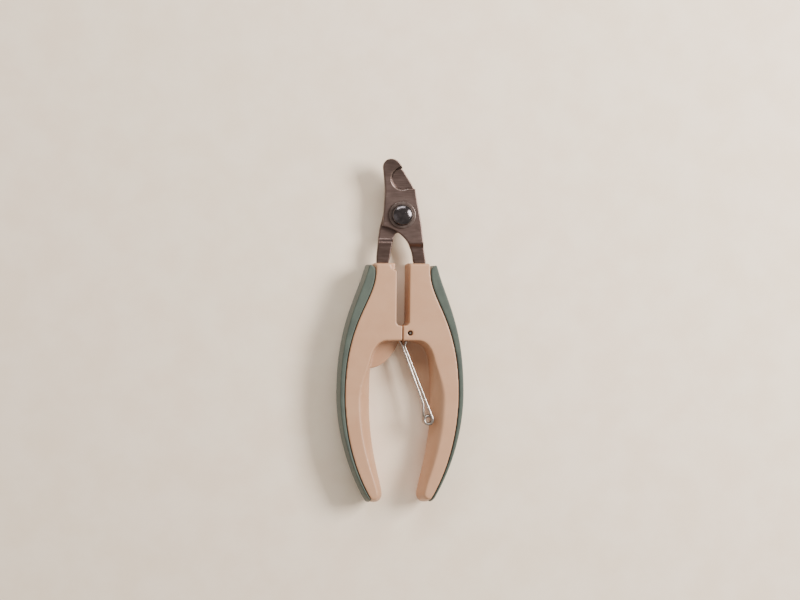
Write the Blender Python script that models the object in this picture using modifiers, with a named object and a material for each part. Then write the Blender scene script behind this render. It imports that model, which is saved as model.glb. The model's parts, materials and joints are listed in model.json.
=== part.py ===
# Plier-type pet nail clipper, lying closed on its back.
# +Z is the thickness with the front face up, +Y runs from the handle ends to the blade tip.
# +X is to the right as seen from the front.
# Every outline is drawn from the pivot, in the plan view, and a parent empty on each joint's axis places it.

import math

import bmesh
import bpy
from mathutils import Vector

MM = 0.001
GAP = 0.3  # between pieces that touch
ABOVE = 30.0  # how far a cutter runs past the object

# Along the object, from the pivot, in millimetres
PIVOT_TO_TIP = 19.5
PIVOT_TO_TAIL = 100.5
PIVOT_TO_BLOCK = 16.7  # the handles' top edge
PIVOT_TO_SLOT_FLOOR = 38.6
PIVOT_TO_ARCH = 43.7  # where the handles part, on the front face
PIVOT_TO_WIDEST = 62.5

# Across the object, from its middle
HALF_SPAN = 22.35
BLOCK_HALF_WIDTH = 12.8
SLOT_HALF_WIDTH = 2.25
TAIL_INNER_HALF_WIDTH = 10.8  # half of the widest gap between the tails
TAIL_END_OUTER = 12.3
TAIL_END_INNER = 6.1
STRIP_WIDTH = 2.25  # the rubber strip's width on the front face, at the widest place
STRIP_TOP_WIDTH = 3.1
STRIP_END_WIDTH = 1.9
STRIP_CROWN = 1.9  # from the strip's edge to the peak of its rounded top

# Through the thickness
HANDLE_THICKNESS = 12.0
TAIL_BEVEL = 4.3  # how far the inner side slopes in from the middle to the front face
OUTER_BEVEL = 0.7
TOP_BEVEL = 0.5
END_BEVEL = 1.6
SLOPE_START = 1.1  # 1 leaves mid thickness in a straight slope, 2 in a round one
SLOPE_END = 0.75  # 1 meets the faces at an edge, less rolls over into them
BEVEL_STEPS = 3
CURVE_STEPS = 7

# The rib that keys each rubber grip to its handle
RIB_REACH = 0.7
RIB_ROOT = 2.0  # how far it starts inside the plastic
RIB_THICKNESS = 3.0
RIB_TOP_MARGIN = 9.0
RIB_BOTTOM_MARGIN = 26.0

# Blades
BLADE_THICKNESS = 1.8
DISH_START = 6.5  # the blades are flat inside this radius and rise outside it
DISH_RADIUS = 35.0
REAR_JOGGLE = 8.9  # from the pivot to the middle of each shank's bend
FRONT_JOGGLE = 10.4
JOGGLE_LENGTH = 2.6
TANG_OUTER_WALL = 1.0  # plastic left between the tang and the rubber
TANG_INNER_WALL = 2.25
TANG_END = 33.5
TANG_HOLE_RADIUS = 1.35
TANG_HOLE_BELOW_PIVOT = 28.0
NOTCH_EDGE_RADIUS = 3.3
NOTCH_FACE_RADIUS = 4.2
FRONT_NOTCH = (0.1, 12.9)
REAR_NOTCH = (-7.3, 11.9)  # far enough over that the closed blades leave no hole
SHOULDER = 9.3  # the front blade's step, above the pivot

# Pivot
RIVET_RADIUS = 2.0
RIVET_HEAD_RADIUS = 3.7
RIVET_HEAD_HEIGHT = 2.0
RIVET_TAIL_RADIUS = 3.2
RIVET_TAIL_HEIGHT = 1.2
BORE_CLEARANCE = 0.2
WASHER_RADIUS = 4.7
WASHER_THICKNESS = 0.5
ROUND_SIDES = 40
HOLE_SIDES = 24

# Hairpin spring, of one wire whose two halves meet in the coil
WIRE_RADIUS = 0.5
WIRE_CLEARANCE = 0.425
COIL_BELOW_ARCH = 27.8
COIL_PAST_TAIL = 0.65  # how far the coil reaches over the tail's sloping inner side
COIL_MEAN_RADIUS = 1.45
COIL_TURN_GAP = 0.05
COIL_TURNS_EACH = 1.25
COIL_SPLIT_DEGREES = 20.0  # taken off the halves' turns, so that they can close on each other
ANCHOR_X = 2.65
ANCHOR_ABOVE_ARCH = 2.5
COIL_RISE = 2.4  # the coil's start above mid thickness
LEFT_LEG_RISE = -0.4  # each leg in its handle above mid thickness, so the left one is below it
RIGHT_LEG_RISE = 1.6
RIGHT_BEND_X = 1.3
RIGHT_BEND_BELOW_ARCH = 2.3
LEFT_BEND_X = 0.3
LEFT_BEND_BELOW_ARCH = 0.9
LEFT_KNEE_ABOVE_COIL = 5.5  # where the left leg turns down to the coil's left side
LEFT_KNEE_RISE = 2.0  # the knee above mid thickness
WIRE_BEND_RADIUS = 0.9
BAY_REACH = 4.2  # from the seam to the sides of the spring bay
WEB_LOW = 1.6  # the thin web under the arch, below the spring's legs
WEB_BELOW_BAY = 0.2
WEB_ROOT = 14.0  # how far from the seam it starts, inside the handle
WEB_RISE = 3.0
RIGHT_WEB_START = 3.2  # where the right web's free edge begins and stops following the leg, below the arch
RIGHT_WEB_STOP = 22.5
RIGHT_WEB_BOTTOM = 24.5
LEFT_WEB_BOTTOM = 10.2
WEB_ROOM = 0.6  # between the right leg and the web's free edge
RELIEF = (-2.1, -16.9)  # a round step in the left handle's inner top corner
RELIEF_RADIUS = 2.5
RELIEF_DEPTH = 4.0

pivot_y = (PIVOT_TO_TAIL - PIVOT_TO_TIP) / 2
middle = HANDLE_THICKNESS / 2
blade_gap_half = GAP / 2
front_blade_low = middle + blade_gap_half
rear_blade_low = middle - blade_gap_half - BLADE_THICKNESS
tang_outer = BLOCK_HALF_WIDTH - STRIP_TOP_WIDTH - TANG_OUTER_WALL
tang_inner = SLOT_HALF_WIDTH + TANG_INNER_WALL
coil_pitch = 2 * WIRE_RADIUS + COIL_TURN_GAP
coil_x = TAIL_INNER_HALF_WIDTH + COIL_PAST_TAIL - COIL_MEAN_RADIUS - WIRE_RADIUS
coil_y = -PIVOT_TO_ARCH - COIL_BELOW_ARCH
anchor_y = -PIVOT_TO_ARCH + ANCHOR_ABOVE_ARCH
left_leg_height = middle + LEFT_LEG_RISE
right_leg_height = middle + RIGHT_LEG_RISE
bay_low = left_leg_height - WIRE_RADIUS - GAP
bay_high = right_leg_height + WIRE_RADIUS + GAP
left_bend = (LEFT_BEND_X, -PIVOT_TO_ARCH - LEFT_BEND_BELOW_ARCH)
right_bend = (RIGHT_BEND_X, -PIVOT_TO_ARCH - RIGHT_BEND_BELOW_ARCH)
left_knee = (coil_x - COIL_MEAN_RADIUS, coil_y + LEFT_KNEE_ABOVE_COIL)


def clear_scene():
    for item in list(bpy.data.objects):
        bpy.data.objects.remove(item, do_unlink=True)


def collection_named(name, hidden=False):
    made = bpy.data.collections.new(name)
    bpy.context.scene.collection.children.link(made)
    made.hide_render = hidden
    return made


def metres(point):
    return Vector(point) * MM


def material_named(name, colour, roughness, metallic):
    made = bpy.data.materials.new(name)
    made.use_nodes = True
    shader = made.node_tree.nodes["Principled BSDF"]
    shader.inputs["Base Color"].default_value = (*colour, 1.0)
    shader.inputs["Roughness"].default_value = roughness
    shader.inputs["Metallic"].default_value = metallic
    return made


def empty_at(name, x, y, parent=None):
    made = bpy.data.objects.new(name, None)
    parts.objects.link(made)
    made.parent = parent
    made.location = metres((x, y, 0.0))
    return made


def add_mesh(name, mesh, where, parent=None, material=None):
    made = bpy.data.objects.new(name, mesh)
    where.objects.link(made)
    made.parent = parent
    if material:
        mesh.materials.append(material)
    if where == cutters:
        made.location = metres((0, pivot_y, 0))
        made.hide_render = True
        made.display_type = "WIRE"
    return made


def boolean(item, cutter, operation="DIFFERENCE"):
    made = item.modifiers.new(f"{operation.lower()} {cutter.name}", "BOOLEAN")
    made.operation = operation
    made.solver = "EXACT"
    made.object = cutter


def shade(item):
    item.data.shade_smooth()
    item.data.set_sharp_from_angle(angle=math.radians(30))


def sample_outline(knots, steps=CURVE_STEPS):
    """Points along a closed outline. A knot is x, y and its two handles, None where it runs straight."""
    points = []
    for i, (x, y, _, leaving) in enumerate(knots):
        next_x, next_y, arriving, _ = knots[(i + 1) % len(knots)]
        start = Vector((x, y))
        end = Vector((next_x, next_y))
        if leaving is None and arriving is None:
            points.append(start)
            continue
        first = start + Vector(leaving or (0, 0))
        second = end + Vector(arriving or (0, 0))
        for k in range(steps):
            t = k / steps
            s = 1 - t
            points.append(s**3 * start + 3 * s * s * t * first + 3 * s * t * t * second + t**3 * end)
    return points


def loft(name, layers):
    """A closed solid through outlines of equal point count, each (points, height), from low to high."""
    count = len(layers[0][0])
    mesh = bpy.data.meshes.new(name)
    shape = bmesh.new()
    rings = []
    for points, height in layers:
        rings.append([shape.verts.new(metres((p[0], p[1], height))) for p in points])
    for low, high in zip(rings, rings[1:]):
        for i in range(count):
            j = (i + 1) % count
            shape.faces.new((low[i], low[j], high[j], high[i]))
    shape.faces.new(reversed(rings[0]))
    shape.faces.new(rings[-1])
    bmesh.ops.recalc_face_normals(shape, faces=shape.faces)
    shape.to_mesh(mesh)
    shape.free()
    return mesh


def prism(name, knots, low, high):
    points = sample_outline(knots)
    return loft(name, [(points, low), (points, high)])


def box(name, low, high):
    mesh = bpy.data.meshes.new(name)
    shape = bmesh.new()
    bmesh.ops.create_cube(shape, size=1.0)
    for vertex in shape.verts:
        vertex.co = metres([a + (b - a) * (c + 0.5) for a, b, c in zip(low, high, vertex.co)])
    shape.to_mesh(mesh)
    shape.free()
    return mesh


def cone(name, centre, low, high, low_radius, high_radius, sides):
    mesh = bpy.data.meshes.new(name)
    shape = bmesh.new()
    bmesh.ops.create_cone(
        shape,
        cap_ends=True,
        segments=sides,
        radius1=low_radius * MM,
        radius2=high_radius * MM,
        depth=(high - low) * MM,
    )
    bmesh.ops.translate(shape, verts=shape.verts, vec=metres((centre[0], centre[1], (low + high) / 2)))
    shape.to_mesh(mesh)
    shape.free()
    return mesh


def cylinder(name, centre, low, high, radius, sides=HOLE_SIDES):
    return cone(name, centre, low, high, radius, radius, sides)


def mirrored(knots):
    """The same outline on the other side of the seam."""
    return [
        (-x, y, arriving and (-arriving[0], arriving[1]), leaving and (-leaving[0], leaving[1]))
        for x, y, arriving, leaving in knots
    ]


# Outlines of the handles, drawn for the right side


def handle_sides(bevelled):
    """Outline of one handle with its grip, at mid thickness or, where bevelled, on both faces."""
    top = -PIVOT_TO_BLOCK - (TOP_BEVEL if bevelled else 0)
    outer = OUTER_BEVEL if bevelled else 0
    end = END_BEVEL if bevelled else 0
    inner = TAIL_BEVEL if bevelled else 0
    seam = GAP / 2
    return [
        (SLOT_HALF_WIDTH, top, None, None),
        (BLOCK_HALF_WIDTH - 1.7 - outer / 2, top, None, (0.9, 0)),
        (BLOCK_HALF_WIDTH - outer, -PIVOT_TO_BLOCK - 2.0, (-0.3, 1.1), (3.1, -11.2)),
        (HALF_SPAN - outer, -PIVOT_TO_WIDEST, (0, 24.0), (0, -7.1)),
        (TAIL_END_OUTER - outer / 2, -PIVOT_TO_TAIL + 0.9 + end, (8.4, 14.5), (-0.3, -0.5)),
        (TAIL_END_OUTER - 1.2 - outer / 2, -PIVOT_TO_TAIL + end, (0.5, 0), None),
        (TAIL_END_INNER + 2.3 + inner / 3, -PIVOT_TO_TAIL + end, None, (-1.4 + end / 2, 0)),
        (TAIL_END_INNER + inner * 0.55, -PIVOT_TO_TAIL + 3.5, (-0.4, -1.9 + end / 2), (0.7, 5.2)),
        (TAIL_INNER_HALF_WIDTH + inner, -PIVOT_TO_WIDEST - 2.0, (0, -17.0), (0, 5.0)),
        *arch_edge(bevelled),
        (seam, -PIVOT_TO_SLOT_FLOOR, None, None),
        (SLOT_HALF_WIDTH - 1.3, -PIVOT_TO_SLOT_FLOOR, None, (0.75, 0)),
        (SLOT_HALF_WIDTH, -PIVOT_TO_SLOT_FLOOR + 1.4, (0, -0.8), None),
    ]


def arch_edge(on_face):
    """The arch from the tail's inner side to the seam, at mid thickness or on the front and back faces."""
    if on_face:
        return [
            (11.4, -PIVOT_TO_ARCH - 6.8, (1.3, -4.6), (-0.9, 4.3)),
            (5.75, -PIVOT_TO_ARCH, (2.6, 0), None),
            (GAP / 2, -PIVOT_TO_ARCH, None, None),
        ]
    return [
        (10.4, -PIVOT_TO_ARCH - 8.0, (0.4, -4.6), (-0.6, 4.8)),
        (5.0, -PIVOT_TO_ARCH - 0.8, (2.6, 0), None),
        (GAP / 2, -PIVOT_TO_ARCH - 0.4, None, None),
    ]


def leg_side(below_arch):
    """The right side of the spring's right leg, with room for the leg."""
    share = (below_arch - RIGHT_BEND_BELOW_ARCH) / (COIL_BELOW_ARCH - RIGHT_BEND_BELOW_ARCH)
    return RIGHT_BEND_X + share * (coil_x + COIL_MEAN_RADIUS - RIGHT_BEND_X) + WIRE_RADIUS + WEB_ROOM


def web_edge(side):
    """The web under the arch: on the right its free edge follows the spring's right leg down to the tail."""
    arch = -PIVOT_TO_ARCH
    top = arch + WEB_RISE
    if side > 0:
        free = [
            (leg_side(RIGHT_WEB_STOP), arch - RIGHT_WEB_STOP, (0.5, -0.9), None),
            (leg_side(RIGHT_WEB_START), arch - RIGHT_WEB_START, None, None),
            (GAP / 2, arch - 0.4, None, None),
        ]
        bottom = arch - RIGHT_WEB_BOTTOM
    else:
        free = [
            (9.6, arch - 9.9, (1.6, -0.2), (-4.0, 0.5)),
            (GAP / 2, arch - 0.4, (1.6, -4.6), None),
        ]
        bottom = arch - LEFT_WEB_BOTTOM
    knots = [(GAP / 2, top, None, None), (WEB_ROOT, top, None, None), (WEB_ROOT, bottom, None, None), *free]
    return facing(side, knots)


def slope_share(t):
    """How much of its bevel a side has run at t, from mid thickness at 0 to a face at 1."""
    return 1 - (1 - abs(t) ** SLOPE_START) ** SLOPE_END


def handle_loft(name, waist, rim):
    """From the back face through the waist to the front face, along the sloping sides."""
    inner = sample_outline(waist)
    outer = sample_outline(rim)
    layers = []
    for k in range(-BEVEL_STEPS, BEVEL_STEPS + 1):
        share = slope_share(k / BEVEL_STEPS)
        height = middle + k / BEVEL_STEPS * middle
        layers.append(([a.lerp(b, share) for a, b in zip(inner, outer)], height))
    return loft(name, layers)


def strip_line(shift):
    """The edge between plastic and rubber, moved outwards by shift, from the top to the tail's end."""
    return [
        (BLOCK_HALF_WIDTH - STRIP_TOP_WIDTH + shift, -PIVOT_TO_BLOCK - 2.6, None, (-0.4, -10.8)),
        (HALF_SPAN - STRIP_WIDTH + shift, -PIVOT_TO_WIDEST, (0, 26.5), (0, -8.5)),
        (TAIL_END_OUTER - STRIP_END_WIDTH + shift, -PIVOT_TO_TAIL + 1.0, (8.2, 13.5), None),
    ]


def plastic_region():
    """Everything on the seam's side of the strip's edge."""
    line = strip_line(-GAP / 2)
    top_x = line[0][0]
    end_x = line[-1][0]
    return [
        (-ABOVE, 0, None, None),
        (top_x, 0, None, None),
        *line,
        (end_x - 1.0, -PIVOT_TO_TAIL - ABOVE, None, None),
        (-ABOVE, -PIVOT_TO_TAIL - ABOVE, None, None),
    ]


def rubber_region():
    """Everything outside the strip's edge, with the strip's rounded top."""
    line = strip_line(GAP / 2)
    end_x = line[-1][0]
    peak_x = line[0][0] + STRIP_CROWN
    peak_y = -PIVOT_TO_BLOCK - 0.8
    far = HALF_SPAN + ABOVE
    return [
        (line[0][0], line[0][1], (0, 0.9), line[0][3]),
        *line[1:],
        (end_x - 1.0, -PIVOT_TO_TAIL - ABOVE, None, None),
        (far, -PIVOT_TO_TAIL - ABOVE, None, None),
        (far, peak_y, None, None),
        (peak_x, peak_y, None, (-0.9, 0)),
    ]


def rib_band(side, name, reach, thickness, ends):
    """The key along the strip's edge, from inside the plastic to reach beyond the edge, with square ends."""
    inner = [(x, y, leaving, arriving) for x, y, arriving, leaving in reversed(strip_line(-RIB_ROOT))]
    knots = facing(side, strip_line(reach) + inner)
    half = thickness / 2
    band = add_mesh(name, prism(name, knots, middle - half, middle + half), cutters)
    low = (-ABOVE * 2, -PIVOT_TO_TAIL + RIB_BOTTOM_MARGIN - ends, 0)
    high = (ABOVE * 2, -PIVOT_TO_BLOCK - RIB_TOP_MARGIN + ends, HANDLE_THICKNESS)
    boolean(band, add_mesh(name + "_length", box(name + "_length", low, high), cutters), "INTERSECT")
    return band


def facing(side, knots):
    """An outline drawn for the right side, as it is or mirrored for the left."""
    return knots if side > 0 else mirrored(knots)


# Handles and grips


def handle_and_grip(side, parent):
    name = "right" if side > 0 else "left"
    waist = facing(side, handle_sides(False))
    rim = facing(side, handle_sides(True))
    handle = add_mesh(name + "_handle", handle_loft(name + "_handle", waist, rim), parts, parent, plastic)
    grip = add_mesh(name + "_grip", handle_loft(name + "_grip", waist, rim), parts, parent, rubber)
    low = -ABOVE
    high = HANDLE_THICKNESS + ABOVE
    plastic_side = prism(name + "_plastic_side", facing(side, plastic_region()), low, high)
    rubber_side = prism(name + "_rubber_side", facing(side, rubber_region()), low, high)
    key = rib_band(side, name + "_key", RIB_REACH, RIB_THICKNESS, 0.0)
    keyway = rib_band(side, name + "_keyway", RIB_REACH + GAP, RIB_THICKNESS + 2 * GAP, GAP)
    boolean(handle, add_mesh(name + "_plastic_side", plastic_side, cutters), "INTERSECT")
    boolean(handle, key, "UNION")
    web = prism(name + "_web", web_edge(side), WEB_LOW, bay_low - WEB_BELOW_BAY)
    boolean(handle, add_mesh(name + "_web", web, cutters), "UNION")
    boolean(grip, add_mesh(name + "_rubber_side", rubber_side, cutters), "INTERSECT")
    boolean(grip, keyway)
    cut_tang_pocket(handle, side)
    cut_spring_bay(handle, side)
    if side < 0:
        name = "left_handle_relief"
        relief_low = HANDLE_THICKNESS - RELIEF_DEPTH
        relief = cylinder(name, RELIEF, relief_low, HANDLE_THICKNESS + 1, RELIEF_RADIUS, ROUND_SIDES)
        boolean(handle, add_mesh(name, relief, cutters))
    shade(handle)
    shade(grip)
    return handle, grip


def tang_outline(side, grow):
    """The part of a blade's shank inside its handle."""
    round_end = 1.2
    outer = tang_outer + grow
    inner = tang_inner - grow
    bottom = -TANG_END - grow
    return facing(
        side,
        [
            (outer, 0, None, None),
            (outer, bottom + round_end, None, (0, -0.7)),
            (outer - round_end, bottom, (0.7, 0), None),
            (inner + round_end, bottom, None, (-0.7, 0)),
            (inner, bottom + round_end, (0, -0.7), None),
            (inner, 0, None, None),
        ],
    )


def tang_centre(side):
    return side * (tang_outer + tang_inner) / 2, -TANG_HOLE_BELOW_PIVOT


def cut_tang_pocket(handle, side):
    """A pocket for the tang, with the lug that passes through the tang's hole left standing in it."""
    name = handle.name + "_tang_pocket"
    half = BLADE_THICKNESS / 2 + GAP
    pocket = add_mesh(name, prism(name, tang_outline(side, GAP), middle - half, middle + half), cutters)
    lug_radius = TANG_HOLE_RADIUS - GAP
    lug = cylinder(name + "_lug", tang_centre(side), -1, HANDLE_THICKNESS + 1, lug_radius)
    boolean(pocket, add_mesh(name + "_lug", lug, cutters))
    boolean(handle, pocket)


def cut_spring_bay(handle, side):
    """The bay where the spring's leg swings, open below the arch, and the hole for the leg's bent end."""
    name = handle.name + "_bay"
    top = anchor_y + WIRE_RADIUS + 3 * GAP
    near, far = sorted((-side * ABOVE, side * BAY_REACH))
    bay = box(name, (near, -PIVOT_TO_ARCH - ABOVE, bay_low), (far, top, bay_high))
    boolean(handle, add_mesh(name, bay, cutters))
    hole_low = middle if side > 0 else -1
    hole_high = HANDLE_THICKNESS + 1 if side > 0 else middle
    hole_radius = WIRE_RADIUS + WIRE_CLEARANCE
    hole = cylinder(name + "_hole", (side * ANCHOR_X, anchor_y), hole_low, hole_high, hole_radius)
    boolean(handle, add_mesh(name + "_hole", hole, cutters))


# Blades


def dish(x, y):
    """How far a blade's middle rises at this place, beyond the shank's joggle."""
    radius = math.hypot(x, y)
    if y < 0 or radius < DISH_START:
        return 0.0
    return (radius - DISH_START) ** 2 / (2 * DISH_RADIUS)


def joggle(y, bend_y, rise):
    """The step that brings a shank to the handle's middle, as a smooth ramp below the pivot."""
    share = min(max((-y - bend_y + JOGGLE_LENGTH / 2) / JOGGLE_LENGTH, 0.0), 1.0)
    return rise * share * share * (3 - 2 * share)


def blade_plate(name, low, bend_y):
    """A sheet wider than the blade, dished towards the tip and joggled towards the shank."""
    rise = middle - BLADE_THICKNESS / 2 - low
    across = tang_outer + 3.0
    bottom = -TANG_END - 2.0
    top = PIVOT_TO_TIP + 2.0
    mesh = bpy.data.meshes.new(name)
    shape = bmesh.new()
    bmesh.ops.create_grid(shape, x_segments=10, y_segments=46, size=0.5)
    for vertex in shape.verts:
        x = vertex.co.x * 2 * across
        y = bottom + (vertex.co.y + 0.5) * (top - bottom)
        vertex.co = metres((x, y, low + dish(x, y) + joggle(y, bend_y, rise)))
    shape.to_mesh(mesh)
    shape.free()
    return mesh


def front_blade_outline():
    """Right shank, and the tip leaning to the left."""
    tip = PIVOT_TO_TIP
    return [
        (-7.1, tip - 3.0, None, (-0.1, 1.7)),
        (-4.5, tip, (-1.5, 0), (1.4, 0)),
        (-1.7, tip - 0.9, (-0.9, 0.55), None),
        (0.8, tip - 3.9, None, None),
        (4.55, SHOULDER + 0.35, None, (0.5, -3.6)),
        (6.9, -3.2, (-0.7, 4.0), (0.5, -4.5)),
        (tang_outer, -PIVOT_TO_BLOCK + 0.8, (-0.7, 3.9), None),
        (tang_outer, -PIVOT_TO_BLOCK, None, None),
        *tang_outline(1, 0.0)[1:5],
        (tang_inner, -PIVOT_TO_BLOCK, None, None),
        (tang_inner - 0.3, -PIVOT_TO_BLOCK + 0.8, None, (-0.4, 7.0)),
        (-6.8, -4.0, (5.6, -0.9), None),
        (-6.1, 7.0, (-0.15, -3.2), (0.15, 3.2)),
    ]


def rear_blade_outline():
    """Left shank, and the spine that shows to the right of the front blade."""
    tip = PIVOT_TO_TIP
    return [
        (-6.2, tip - 3.2, None, (0.1, 1.2)),
        (-4.4, tip - 0.5, (-1.1, 0), (1.2, 0)),
        (-1.9, tip - 1.4, (-0.8, 0.5), None),
        (0.7, tip - 4.1, None, (1.0, -1.7)),
        (4.4, SHOULDER + 0.3, (-1.0, 1.9), (0.5, -3.4)),
        (5.6, -3.4, (0.6, 3.2), (-1.4, -1.4)),
        (-1.9, -6.3, (2.6, 0.4), (-0.9, -1.7)),
        (-tang_inner + 0.5, -PIVOT_TO_BLOCK + 1.8, (0.5, 4.4), None),
        (-tang_inner, -PIVOT_TO_BLOCK, None, None),
        *reversed([(x, y, leaving, arriving) for x, y, arriving, leaving in tang_outline(-1, 0.0)[1:5]]),
        (-tang_outer, -PIVOT_TO_BLOCK, None, None),
        (-tang_outer, -PIVOT_TO_BLOCK + 2.0, None, (0.2, 3.0)),
        (-7.5, -4.6, (-0.4, -3.0), (0.4, 1.8)),
        (-5.7, 4.0, (-0.2, -3.0), None),
    ]


def blade(name, side, outline, low, bend_y, parent):
    item = add_mesh(name, blade_plate(name, low, bend_y), parts, parent, steel)
    thickness = item.modifiers.new("thickness", "SOLIDIFY")
    thickness.thickness = BLADE_THICKNESS * MM
    thickness.offset = 1.0
    trim = prism(name + "_outline", outline, -ABOVE, ABOVE)
    boolean(item, add_mesh(name + "_outline", trim, cutters), "INTERSECT")
    bore_radius = RIVET_RADIUS + BORE_CLEARANCE
    bore = cylinder(name + "_bore", (0, 0), 0, HANDLE_THICKNESS, bore_radius, ROUND_SIDES)
    boolean(item, add_mesh(name + "_bore", bore, cutters))
    tang_hole = cylinder(name + "_tang_hole", tang_centre(side), 0, HANDLE_THICKNESS, TANG_HOLE_RADIUS)
    boolean(item, add_mesh(name + "_tang_hole", tang_hole, cutters))
    return item


def notch(item, centre, face_height, edge_height):
    """A round bite ground to an edge: a cone, wide at the blade's face and narrow where the blades slide."""
    name = item.name + "_notch"
    slope = (NOTCH_FACE_RADIUS - NOTCH_EDGE_RADIUS) / (face_height - edge_height)
    extra = 2.0 * (1 if face_height > edge_height else -1)
    far_radius = NOTCH_FACE_RADIUS + slope * extra
    near_radius = NOTCH_EDGE_RADIUS - slope * extra
    ends = [(face_height + extra, far_radius), (edge_height - extra, near_radius)]
    (low, low_radius), (high, high_radius) = sorted(ends)
    cutter = cone(name, centre, low, high, low_radius, high_radius, ROUND_SIDES)
    boolean(item, add_mesh(name, cutter, cutters))


def front_blade(parent):
    item = blade("front_blade", 1, front_blade_outline(), front_blade_low, FRONT_JOGGLE, parent)
    rise = dish(*FRONT_NOTCH)
    face = front_blade_low + BLADE_THICKNESS + rise
    notch(item, FRONT_NOTCH, face, front_blade_low + rise)
    low = (FRONT_NOTCH[0], SHOULDER, 0)
    high = (ABOVE, FRONT_NOTCH[1] + 1.5, HANDLE_THICKNESS + 1)
    boolean(item, add_mesh("front_blade_step", box("front_blade_step", low, high), cutters))
    shade(item)
    return item


def rear_blade(parent):
    item = blade("rear_blade", -1, rear_blade_outline(), rear_blade_low, REAR_JOGGLE, parent)
    rise = dish(*REAR_NOTCH)
    notch(item, REAR_NOTCH, rear_blade_low + rise, rear_blade_low + BLADE_THICKNESS + rise)
    shade(item)
    return item


# Pivot


def turned(name, profile, material, parent):
    """A round piece from its profile, (radius, height) down its outer side from top to bottom."""
    mesh = bpy.data.meshes.new(name)
    points = [metres((radius, 0, height)) for radius, height in profile]
    mesh.from_pydata(points, [(i, i + 1) for i in range(len(points) - 1)], [])
    item = add_mesh(name, mesh, parts, parent, material)
    screw = item.modifiers.new("turn", "SCREW")
    screw.steps = ROUND_SIDES
    screw.render_steps = ROUND_SIDES
    screw.use_merge_vertices = True
    screw.merge_threshold = 0.00001
    screw.use_smooth_shade = True
    return item


def pivot(parent):
    """The rivet through both blades, its washers under the domed head and over the spread tail."""
    blade_top = front_blade_low + BLADE_THICKNESS
    head_low = blade_top + 2 * GAP + WASHER_THICKNESS
    tail_high = rear_blade_low - 2 * GAP - WASHER_THICKNESS
    dome = []
    for k in range(8):
        angle = math.radians(90 * k / 7)
        height = head_low + 0.5 + (RIVET_HEAD_HEIGHT - 0.5) * math.cos(angle)
        dome.append((RIVET_HEAD_RADIUS * math.sin(angle), height))
    rivet = dome + [
        (RIVET_HEAD_RADIUS, head_low),
        (RIVET_RADIUS, head_low),
        (RIVET_RADIUS, tail_high),
        (RIVET_TAIL_RADIUS, tail_high),
        (RIVET_TAIL_RADIUS, tail_high - 0.5),
        (RIVET_TAIL_RADIUS - 0.9, tail_high - RIVET_TAIL_HEIGHT),
        (0, tail_high - RIVET_TAIL_HEIGHT),
    ]
    turned("pivot_rivet", rivet, bright_steel, parent)
    inner = RIVET_RADIUS + BORE_CLEARANCE
    for name, low in (("front_washer", blade_top + GAP), ("back_washer", tail_high + GAP)):
        high = low + WASHER_THICKNESS
        ring = [
            (inner, high),
            (WASHER_RADIUS - 0.15, high),
            (WASHER_RADIUS, high - 0.15),
            (WASHER_RADIUS, low),
            (inner, low),
            (inner, high),
        ]
        turned(name, ring, steel, parent)


# Spring


def coil_angle():
    """Angle on the coil where the right leg, straight from its bend, meets the coil's right side."""
    across = Vector((coil_x, coil_y)) - Vector(right_bend)
    lean = math.asin(COIL_MEAN_RADIUS / across.length)
    return math.atan2(across.y, across.x) + lean + math.pi / 2


def coil_point(angle, height):
    x = coil_x + COIL_MEAN_RADIUS * math.cos(angle)
    y = coil_y + COIL_MEAN_RADIUS * math.sin(angle)
    return x, y, height


def rounded_route(corners, radius):
    """The same route with each inner corner replaced by a short bend."""
    route = [Vector(corners[0])]
    for before, corner, after in zip(corners, corners[1:], corners[2:]):
        corner = Vector(corner)
        start = corner + (Vector(before) - corner).normalized() * radius
        end = corner + (Vector(after) - corner).normalized() * radius
        for k in range(4):
            t = k / 3
            route.append((1 - t) ** 2 * start + 2 * t * (1 - t) * corner + t * t * end)
    route.append(Vector(corners[-1]))
    return route


def wire(name, route, anchor, material, parent):
    """A wire whose origin is on the axis of its bent end."""
    curve = bpy.data.curves.new(name, "CURVE")
    curve.dimensions = "3D"
    curve.bevel_depth = WIRE_RADIUS * MM
    curve.bevel_resolution = 2
    curve.use_fill_caps = True
    spline = curve.splines.new("POLY")
    spline.points.add(len(route) - 1)
    for point, place in zip(spline.points, route):
        point.co = (*metres((place[0] - anchor[0], place[1] - anchor[1], place[2])), 1.0)
    curve.materials.append(material)
    item = bpy.data.objects.new(name, curve)
    parts.objects.link(item)
    item.parent = parent
    return item


def coil_steps(start, turns, height):
    """Points along one half of the coil, rising anticlockwise."""
    count = round(16 * abs(turns))
    return [
        coil_point(start + 2 * math.pi * turns * k / count, height + coil_pitch * turns * k / count)
        for k in range(count + 1)
    ]


def spring(left_parent, right_parent):
    split = COIL_SPLIT_DEGREES / 360 / 2
    turns = COIL_TURNS_EACH - split
    left_start = math.pi
    right_start = coil_angle()
    coil_bottom = middle + COIL_RISE
    coil_top = coil_bottom + 2 * COIL_TURNS_EACH * coil_pitch + GAP
    left_coil = coil_steps(left_start, turns, coil_bottom)
    right_coil = coil_steps(right_start, -turns, coil_top)
    left_anchor = (-ANCHOR_X, anchor_y)
    right_anchor = (ANCHOR_X, anchor_y)
    left_corners = [
        (*left_anchor, GAP + 0.2),
        (*left_anchor, left_leg_height),
        (*left_bend, left_leg_height + 0.2),
        (*left_knee, middle + LEFT_KNEE_RISE),
        left_coil[0],
    ]
    right_corners = [
        (*right_anchor, HANDLE_THICKNESS - GAP),
        (*right_anchor, right_leg_height),
        (*right_bend, right_leg_height + 0.2),
        right_coil[0],
    ]
    left_route = rounded_route(left_corners, WIRE_BEND_RADIUS) + left_coil[1:]
    right_route = rounded_route(right_corners, WIRE_BEND_RADIUS) + right_coil[1:]
    wire("spring_left_leg", left_route, left_anchor, wire_steel, left_parent)
    wire("spring_right_leg", right_route, right_anchor, wire_steel, right_parent)


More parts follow.
